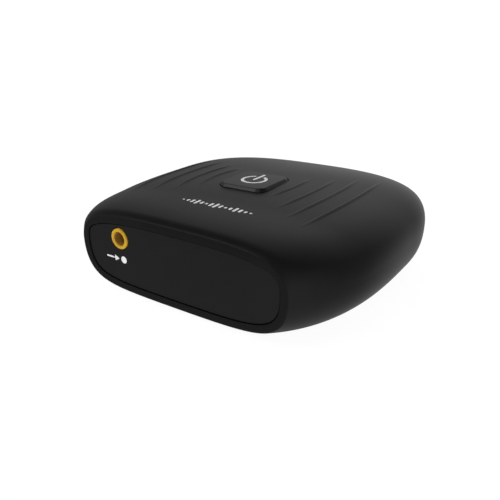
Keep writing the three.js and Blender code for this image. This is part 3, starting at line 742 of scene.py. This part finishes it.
FEET, CASE_SCREWS = spots("foot_"), spots("case_screw_")
FOOT_RADIUS, FOOT_POCKET_TOP = 4.0, 2.1
SCREW_HEAD, SCREW_HEAD_TOP = 2.3, 2.6
SCREW_SHANK, SCREW_TIP = 1.1, 0.4
BOSS_RADIUS, BOSS_TOP = 3.4, 5.0
HEAD_POCKET, HEAD_POCKET_TOP = SCREW_HEAD + 0.4, 2.9
SCREW_HOLE, SCREW_HOLE_TOP = 1.5, 9.0
RECESS_REACH, RECESS_HALF_WIDTH, RECESS_DEPTH = 1.25, 0.32, 0.75
RECESS_TURNS = (20, 110)          # the two slots of a cross recess, degrees


def cover_plate():
    """The bottom cover without bosses and pockets, following the pebble underneath."""
    outline = cover_outline(0)
    middle = np.array([0, WIDEST_Y - 6])
    loops = []
    for share in np.concatenate([np.linspace(0.05, 0.75, 8), np.linspace(0.8, 1, 7)]):
        ring = middle + (moved_in(outline, COVER_EDGE) - middle) * share
        loops.append(flat_up(ring, bottom_z(ring[:, 0], ring[:, 1])))
    for t in np.linspace(0, np.pi / 2, 4)[1:]:
        ring = moved_in(outline, COVER_EDGE * (1 - math.sin(t)))
        rise = COVER_EDGE * (1 - math.cos(t))
        loops.append(flat_up(ring, bottom_z(ring[:, 0], ring[:, 1]) + rise))
    for share in (1, 0.7, 0.35, 0.05):
        loops.append(flat_up(middle + (outline - middle) * share, COVER_TOP))
    return stacked("case_bottom_cover", loops)


def bottom_cover():
    boss = [(0, COVER_TOP - 1, 0), (BOSS_RADIUS, COVER_TOP - 1, 0), (BOSS_RADIUS, BOSS_TOP, 0.3),
            (0, BOSS_TOP, 0)]
    screw_pocket = [(0, -1, 0), (HEAD_POCKET, -1, 0), (HEAD_POCKET, HEAD_POCKET_TOP, 0.1),
                    (SCREW_HOLE, HEAD_POCKET_TOP, 0), (SCREW_HOLE, SCREW_HOLE_TOP, 0), (0, SCREW_HOLE_TOP, 0)]
    foot_pocket = [(0, -1, 0), (FOOT_RADIUS + GAP, -1, 0), (FOOT_RADIUS + GAP, FOOT_POCKET_TOP, 0.1),
                   (0, FOOT_POCKET_TOP, 0)]
    posts = [turned("boss", boss, (x, y, 0)) for x, y in CASE_SCREWS.values()]
    pockets = [turned("pocket", screw_pocket, (x, y, 0)) for x, y in CASE_SCREWS.values()]
    pockets += [turned("pocket", foot_pocket, (x, y, 0)) for x, y in FEET.values()]
    return cut(join(cover_plate(), *posts), *pockets)


def foot(node, x, y):
    """A low rubber disc with a raised rim round its sole."""
    top = node_box(node)[1][2]
    profile = [(0, 0, 0), (FOOT_RADIUS - 1.0, 0, 0), (FOOT_RADIUS - 0.8, 0.12, 0.1),
               (FOOT_RADIUS, 0.12, 0.35), (FOOT_RADIUS, top, 0.1), (0, top, 0)]
    return turned("rubber_" + node, profile, (x, y, 0))


def case_screw(node, x, y):
    """A pan-head screw that stands on its head, with a cross recess."""
    low, high = node_box(node)
    bottom, tip = low[2], high[2]
    profile = [(0, bottom, 0), (SCREW_HEAD, bottom + 0.15, 0.35), (SCREW_HEAD, SCREW_HEAD_TOP, 0.05),
               (SCREW_SHANK, SCREW_HEAD_TOP, 0.2), (SCREW_SHANK, tip - 1.2, 0.3), (SCREW_TIP, tip, 0.1),
               (0, tip, 0)]
    screw = turned("steel_" + node, profile, (x, y, 0), 32)
    outline = round_box(0, 0, RECESS_REACH, RECESS_HALF_WIDTH, 0.15, 3)
    recesses = []
    for angle in RECESS_TURNS:
        blade = slab("recess", outline, [], -0.2, RECESS_DEPTH, 0.05, steps=2)
        spin = Matrix.Rotation(math.radians(angle), 4, "Z")
        blade.data.transform(Matrix.Translation(Vector((x, y, bottom)) * MM) @ spin)
        recesses.append(blade)
    return cut(screw, *recesses)


finish_piece(bottom_cover(), "casing", CASING, ["bottom_cover"])
for node, (x, y) in FEET.items():
    finish_piece(foot(node, x, y), "casing", RUBBER, [node])
for node, (x, y) in CASE_SCREWS.items():
    finish_piece(case_screw(node, x, y), "casing", STEEL, [node])


# ---- Panels ----

def front_panel():
    turns = np.linspace(0, 2 * np.pi, 200, endpoint=False)
    outline = rim_opening(turns, PANEL_GAP)
    hole = circle(JACK_X, JACK_Z, JACK_NOSE + PANEL_GAP, 64)
    return slab("case_front_panel", outline, [hole], PANEL_LOW[1], PANEL_HIGH[1], PANEL_EDGE, flat_front)


def rear_panel():
    turns = np.linspace(0, 2 * np.pi, 160, endpoint=False)
    outline = rear_oval(turns, -GAP)
    jack_hole = circle(REAR_JACK_X, JACK_Z, JACK_NOSE + GAP, 64)
    usb_hole = round_box(USB_X, USB_Z, USB_HALF_X + GAP, USB_HALF_Z + GAP, 1.0)
    holes = [jack_hole, usb_hole]
    return slab("case_rear_panel", outline, holes, REAR_LOW[1], REAR_HIGH[1], REAR_PANEL_EDGE, flat_front)


finish_piece(front_panel(), "casing", PANEL, ["front_panel"])
finish_piece(rear_panel(), "casing", PANEL, ["rear_panel"])


# ---- Power button ----

def button_loop(half, corner, height):
    return flat_up(round_box(0, BUTTON_Y, half, half, max(corner, 0.05), 10), height)


def icon_ring(extra):
    """The open ring of the power symbol, its opening towards the back."""
    opening = ICON_OPENING - extra / ICON_RADIUS
    sweep = np.linspace(np.pi / 2 + opening, np.pi / 2 - opening + 2 * np.pi, 72)[:, None]
    around = np.concatenate([np.cos(sweep), np.sin(sweep)], 1)
    outer = around * (ICON_RADIUS + extra)
    inner = around[::-1] * (ICON_RADIUS - ICON_STROKE - extra)
    return np.concatenate([outer, inner]) + [0, BUTTON_Y]


def icon_bar(extra):
    start, end = ICON_BAR
    half = ICON_STROKE / 2 + extra
    return round_box(0, BUTTON_Y + (start + end) / 2, half, (end - start) / 2 + extra, half - 0.02, 8)


def button_cap():
    crown = [(size, BUTTON_TOP - BUTTON_CROWN * (size / BUTTON_HALF) ** 2) for size in (0.5, 2, 4, 6, 7)]
    edge_top = BUTTON_TOP - BUTTON_CROWN
    bevel = rounded_path([(*crown[-1], 0), (BUTTON_HALF - BEVEL, edge_top, 0.5),
                          (BUTTON_HALF, edge_top - BEVEL_DROP, 0.25), (BUTTON_HALF, BUTTON_TOP - 2, 0)])
    loops = []
    for half, level in crown[:-1] + [tuple(point) for point in bevel]:
        loops.append(button_loop(half, max(BUTTON_CORNER + half - BUTTON_HALF, 0.1 * half), level))
    flange, flange_top = BUTTON_HALF + BUTTON_FLANGE, BUTTON_BOTTOM + BUTTON_FLANGE
    hollow = BUTTON_HALF - BUTTON_WALL
    steps = [(BUTTON_HALF, flange_top), (flange, flange_top)]
    steps += [(flange, BUTTON_BOTTOM), (hollow, BUTTON_BOTTOM)]
    steps += [(hollow * share, BUTTON_ROOF) for share in (1, 0.5, 0.06)]
    for half, level in steps:
        loops.append(button_loop(half, BUTTON_CORNER + half - BUTTON_HALF, level))
    outlines = [icon_ring(0.03), icon_bar(0.03)]
    slots = [slab("slot", outline, [], BUTTON_BOTTOM, FAR_UP, SHARP, steps=1) for outline in outlines]
    return cut(stacked("button_cap", loops), *slots)


def light_guide():
    """The translucent piece whose raised symbol fills the slots of the cap."""
    top = BUTTON_TOP - 0.03
    disc_top = BUTTON_ROOF - GAP
    disc_bottom = disc_top - GUIDE_THICK
    disc = [(0, GUIDE_BOTTOM, 0), (GUIDE_STEM, GUIDE_BOTTOM, 0.2), (GUIDE_STEM, disc_bottom, 0.3),
            (GUIDE_RADIUS, disc_bottom, 0.2), (GUIDE_RADIUS, disc_top, 0.2), (0, disc_top, 0)]
    piece = turned("button_symbol", disc, (0, BUTTON_Y, 0))
    ring = slab("ring", icon_ring(0), [], disc_top - 0.4, top, 0.04)
    bar = slab("bar", icon_bar(0), [], disc_top - 0.4, top, 0.04)
    return join(piece, ring, bar)


def on_painted_highlight(spot, normal):
    """True on the cap's sloping edge, on its front side and round its front corners, where a lighter copy of
    the button plastic paints a highlight.
    """
    side = max(abs(spot.x), abs(spot.y - BUTTON_Y))
    sloping = side > BUTTON_HALF - BEVEL - 0.3 and spot.z > BUTTON_TOP - 1.2
    return sloping and normal.y < -0.04 and normal.x < 0.6


cap = finish_piece(button_cap(), "button", BUTTON, ["power_button"])
# The front bevel and front corners get the painted highlight.
second_material(cap, BUTTON_BEVEL_PAINTED_HIGHLIGHT, on_painted_highlight)
finish_piece(light_guide(), "button", SYMBOL, ["button_light_guide"])


# ---- Audio jacks and power inlet ----

def jack_housing(name, x, face_y, towards):
    """A jack with its round nose at face_y, running `towards` +Y or -Y."""
    radius, bore = JACK_NOSE, JACK_BORE
    half_width, half_height, length = JACK_BODY
    nose_end = JACK_NOSE_LENGTH + 0.5
    profile = [(0, 0, 0), (radius, 0, 0.35), (radius, nose_end, 0), (0, nose_end, 0)]
    nose = turned(name, profile, (0, 0, 0), 72)
    outline = round_box(0, 0, half_width, half_height, 0.5, 4)
    body = slab("body", outline, [], JACK_NOSE_LENGTH, JACK_NOSE_LENGTH + length, 0.25)
    flare = [(0, -1, 0), (bore + 0.9, -1, 0), (bore + 0.2, 0, 0), (bore, 0.3, 0.1),
             (bore, JACK_BORE_LENGTH, 0), (0, JACK_BORE_LENGTH, 0)]
    hollow = turned("hollow", flare, (0, 0, 0), 64)
    half_width, half_height, sunk = JACK_CHAMBER
    outline = round_box(0, -sunk, half_width, half_height, 0.3, 3)
    chamber = slab("chamber", outline, [], *JACK_CHAMBER_DEPTHS, 0.05, steps=1)
    piece = cut(join(nose, body), hollow, chamber)
    if towards < 0:
        piece.data.transform(Matrix.Rotation(math.pi, 4, "Z"))
    return lay_along_y(piece, x, face_y, JACK_Z, towards)


def add_jack(name, x, face_y, towards):
    def in_bore(spot, normal):
        return math.hypot(spot.x - x, spot.z - JACK_Z) < JACK_BORE + 0.1 and abs(spot.y - face_y) > 0.15

    jack = finish_piece(jack_housing(name, x, face_y, towards), "casing", JACK, [name + "_housing"])
    # The inside of the bore gets the painted shade.
    second_material(jack, JACK_BORE_PAINTED_SHADE, in_bore)


def usb_shell():
    outer = round_box(USB_X, USB_Z, USB_HALF_X, USB_HALF_Z, USB_CORNER)
    inner = round_box(USB_X, USB_Z, USB_HALF_X - USB_WALL, USB_HALF_Z - USB_WALL, USB_CORNER - USB_WALL)
    return slab("inlet_shell", outer, [inner], USB_LOW[1], USB_HIGH[1], 0.08, flat_front)


add_jack("front_jack", JACK_X, FRONT_Y, 1)
add_jack("rear_jack", REAR_JACK_X, REAR_JACK_HIGH[1], -1)
finish_piece(usb_shell(), "casing", SHELL, ["usb_shell"])


# ---- Printed marks: generic, in place of lettering ----

INK_PROUD, INK_SUNK = 0.03, 0.1    # how far the printed shapes stand out, and how far they reach in


def printed(name, outlines, surface):
    """Thin ink shapes that follow a surface; surface(points, lift) lays plan points on it."""
    pieces = []
    for outline in outlines:
        ring = np.asarray(outline, float)
        middle = ring.mean(0)
        loops = [surface(middle + (ring - middle) * share, INK_PROUD) for share in (0.1, 0.5, 1)]
        loops += [surface(middle + (ring - middle) * share, -INK_SUNK) for share in (1, 0.1)]
        pieces.append(stacked(name, loops))
    with bpy.context.temp_override(active_object=pieces[0], selected_editable_objects=pieces):
        bpy.ops.object.join()
    return pieces[0]


def on_top(points, lift):
    """(x, y) points laid on the top."""
    swell = shoulder(points[:, 1], math.pi / 2)
    return np.column_stack([points, top_z(points[:, 0], points[:, 1]) + swell + lift])


def on_panel(points, lift):
    """(x, z) points laid on the front panel."""
    return flat_front(points, PANEL_LOW[1] - lift)


WAVE_HEIGHTS = [0.5, 0.9, 1.6, 2.3, 1.3, 0.8, 1.8, 2.4, 1.5, 0.7, 1.2, 2.1, 1.6, 0.9, 0.5]
WAVE_MIDDLE = (2.4, -24.9)
WAVE_PITCH = 1.55
WAVE_STRETCH = 0.62               # half of a bar's length for each unit of its height
WAVE_HALF_WIDTH, WAVE_CORNER = 0.38, 0.34


def wave_bar(i, height):
    x = WAVE_MIDDLE[0] + (i - len(WAVE_HEIGHTS) // 2) * WAVE_PITCH
    return round_box(x, WAVE_MIDDLE[1], WAVE_HALF_WIDTH, height * WAVE_STRETCH, WAVE_CORNER, 4)


ARROW_Z = 10.8
SHAFT_START, SHAFT_END, SHAFT_HALF = -24.4, -21.2, 0.24
HEAD_TIP, HEAD_HALF = -19.6, 0.85
DOT_X, DOT_RADIUS = -17.9, 1.0


def arrow():
    return np.array([
        (SHAFT_START, -SHAFT_HALF), (SHAFT_END, -SHAFT_HALF), (SHAFT_END, -HEAD_HALF), (HEAD_TIP, 0),
        (SHAFT_END, HEAD_HALF), (SHAFT_END, SHAFT_HALF), (SHAFT_START, SHAFT_HALF),
    ]) + [0, ARROW_Z]


wave = [wave_bar(i, height) for i, height in enumerate(WAVE_HEIGHTS)]
finish_piece(printed("printed_wave", wave, on_top), "casing", PRINT)
marks = [arrow(), circle(DOT_X, ARROW_Z, DOT_RADIUS, 32)]
finish_piece(printed("printed_input_arrow", marks, on_panel), "casing", PRINT)


# ---- CAD nodes that stay, with their materials ----

KEPT = {
    "board_screw": STEEL,
    "switch_body": INSULATOR,
    "switch_plate": CAN,
    "switch_plunger": INSULATOR,
    "main_board": BOARD,
    "wireless_board": MODULE,
    "shield_can": CAN,
    "chip_antenna": CERAMIC,
    "audio_chip": CHIP,
    "regulator_chip": CHIP,
    "crystal": CAN,
    "coil": CHIP,
    "power_led": LED,
    "capacitor": CAN,
    "front_jack_sleeve": CONTACT,
    "front_jack_ring": CONTACT,
    "front_jack_tip": CONTACT,
    "rear_jack_sleeve": CONTACT,
    "rear_jack_ring": CONTACT,
    "rear_jack_tip": CONTACT,
    "usb_insulator": INSULATOR,
}
for prefix, look in KEPT.items():
    for name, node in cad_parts.items():
        if name.startswith(prefix):
            node.data.materials.clear()
            node.data.materials.append(look)


# ---- Floor, light and camera ----

FLOOR_REACH = 4.0                 # metres
BACKDROP_RADIUS, BACKDROP_HEIGHTS = 3900, (-10, 2500)


def floor():
    """A pale sheet that glows, so that hardly any shadow shows on it."""
    made, nodes, links, shader = material("floor_paper")
    paper = tinted(nodes, links, noise(nodes, links, 60.0, 3.0), grey(0.10), grey(0.12))
    links.new(paper, shader.inputs["Base Color"])
    links.new(ranged(nodes, links, noise(nodes, links, 2.0), 0.75, 0.9), shader.inputs["Roughness"])
    shader.inputs["Specular IOR Level"].default_value = 0.1
    shader.inputs["Emission Color"].default_value = (1, 1, 1, 1)
    shader.inputs["Emission Strength"].default_value = 0.95
    mesh = bpy.data.meshes.new("floor")
    corners = [(-1, -1), (1, -1), (1, 1), (-1, 1)]
    mesh.from_pydata([(a * FLOOR_REACH, b * FLOOR_REACH, 0) for a, b in corners], [], [(0, 1, 2, 3)])
    piece = bpy.data.objects.new("floor", mesh)
    bpy.context.scene.collection.objects.link(piece)
    piece.data.materials.append(made)
    piece.visible_glossy = False


def camera(place, azimuth, elevation, roll, lens):
    """A camera at `place`, looking from azimuth (from -Y towards +X) and elevation; angles in degrees."""
    data = bpy.data.cameras.new("camera")
    data.lens, data.sensor_width = lens, 36
    data.clip_start = 0.01
    eye = bpy.data.objects.new("camera", data)
    bpy.context.scene.collection.objects.link(eye)
    a, e, r = (math.radians(angle) for angle in (azimuth, elevation, roll))
    ahead = Vector((-math.sin(a) * math.cos(e), math.cos(a) * math.cos(e), -math.sin(e)))
    right = Vector((math.cos(a), math.sin(a), 0))
    up = right.cross(ahead)
    right, up = math.cos(r) * right + math.sin(r) * up, -math.sin(r) * right + math.cos(r) * up
    aim = Matrix((right, up, -ahead)).transposed().to_4x4()
    eye.matrix_world = Matrix.Translation(Vector(place) * MM) @ aim
    bpy.context.scene.camera = eye


def backdrop():
    """A pale wall all round, far off, that only the camera sees."""
    made = bpy.data.materials.new("backdrop_paper")
    made.use_nodes = True
    shader = made.node_tree.nodes["Principled BSDF"]
    shader.inputs["Base Color"].default_value = (0, 0, 0, 1)
    shader.inputs["Emission Color"].default_value = (1, 1, 1, 1)
    shader.inputs["Emission Strength"].default_value = 1.0
    ring = circle(0, 0, BACKDROP_RADIUS, 64)
    points = np.concatenate([flat_up(ring, height) for height in BACKDROP_HEIGHTS])
    piece = new_piece("backdrop", points, grid_faces(2, len(ring)))
    piece.data.materials.append(made)
    piece.visible_diffuse = False
    piece.visible_glossy = False
    piece.visible_shadow = False


# Soft boxes far off: azimuth from the back (+Y) towards +X, elevation, cosine of the half width, strength.
# A fit to the photo's tones showed which strengths were needed; these are plain values near it.
SOFT_BOXES = [
    (0, 40, 0.60, 0.75),
    (0, -20, 0.70, 0.60),
    (60, 15, 0.60, 0.10),
    (120, 5, 0.60, 1.00),
    (135, -60, 0.30, 1.15),
    (180, 0, 0.60, 0.15),
    (222, 40, 0.93, 4.20),
    (225, 5, 0.60, 0.25),
    (312, 2, 0.75, 0.20),
]
AMBIENT = 0.20


def studio_world():
    """An even dim light all round, with the soft boxes added to it."""
    world = bpy.data.worlds.new("studio")
    bpy.context.scene.world = world
    world.use_nodes = True
    nodes, links = world.node_tree.nodes, world.node_tree.links
    where = nodes.new("ShaderNodeTexCoord").outputs["Generated"]
    total = None
    for azimuth, elevation, edge, strength in SOFT_BOXES:
        a, e = math.radians(azimuth), math.radians(elevation)
        along = nodes.new("ShaderNodeVectorMath")
        along.operation = "DOT_PRODUCT"
        links.new(where, along.inputs[0])
        along.inputs[1].default_value = (math.sin(a) * math.cos(e), math.cos(a) * math.cos(e), math.sin(e))
        glow = ranged(nodes, links, along.outputs["Value"], 0, strength, (edge, 1))
        glow.node.interpolation_type = "SMOOTHSTEP"
        added = nodes.new("ShaderNodeMath")
        added.inputs[0].default_value = AMBIENT
        if total:
            links.new(total, added.inputs[0])
        links.new(glow, added.inputs[1])
        total = added.outputs["Value"]
    nodes["Background"].inputs["Color"].default_value = (1, 1, 1, 1)
    links.new(total, nodes["Background"].inputs["Strength"])


floor()
backdrop()
studio_world()
camera((84.32, -127.17, 68.4), 34.97, 23.04, -1.06, 38.45)
bpy.context.scene.view_settings.view_transform = "Standard"
